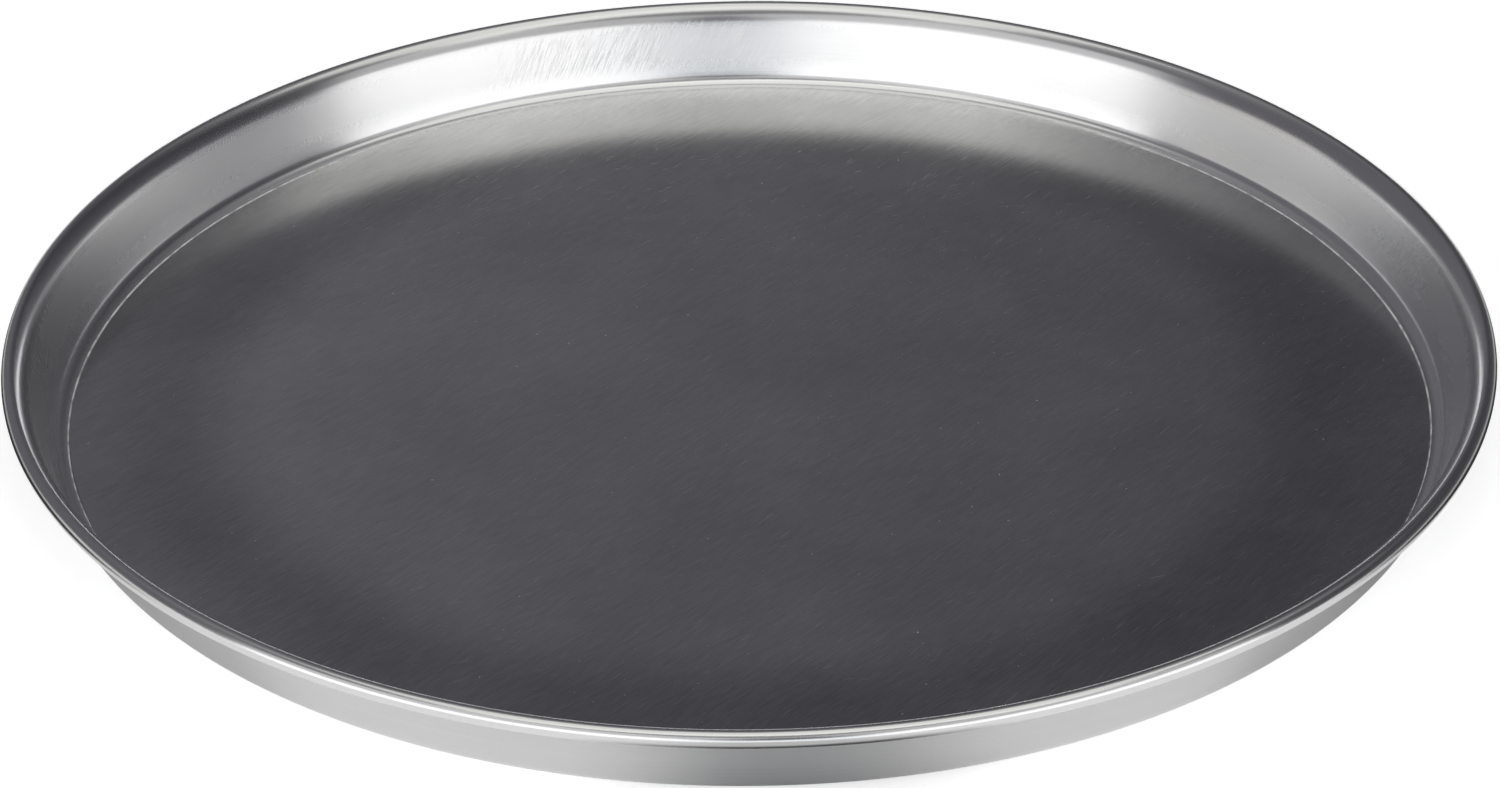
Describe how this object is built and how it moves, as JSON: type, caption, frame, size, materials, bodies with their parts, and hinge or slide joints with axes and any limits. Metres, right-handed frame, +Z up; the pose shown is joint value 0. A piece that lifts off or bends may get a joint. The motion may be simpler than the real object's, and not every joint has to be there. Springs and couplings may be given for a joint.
{
  "type": "tapered baking pan",
  "caption": "Shallow round baking pan of one aluminium sheet: flat floor, short wall that leans outward and flares into a rim rolled outward over a stiffening wire.",
  "frame": {"origin": "centre of the base, on the surface that the pan stands on", "axes": "+Z up along the pan's axis of revolution, X and Y across the rim"},
  "size_m": [0.41, 0.41, 0.0245],
  "materials": {
    "spun_aluminium": "bright rolled sheet, faint straight grain on the floor, spinning lines and rub marks on the wall",
    "steel_wire": "plain drawn wire, closed in by the rolled rim"
  },
  "bodies": {
    "root": {"pan_body": "spun_aluminium", "rim_wire": "steel_wire"}
  },
  "joints": []
}
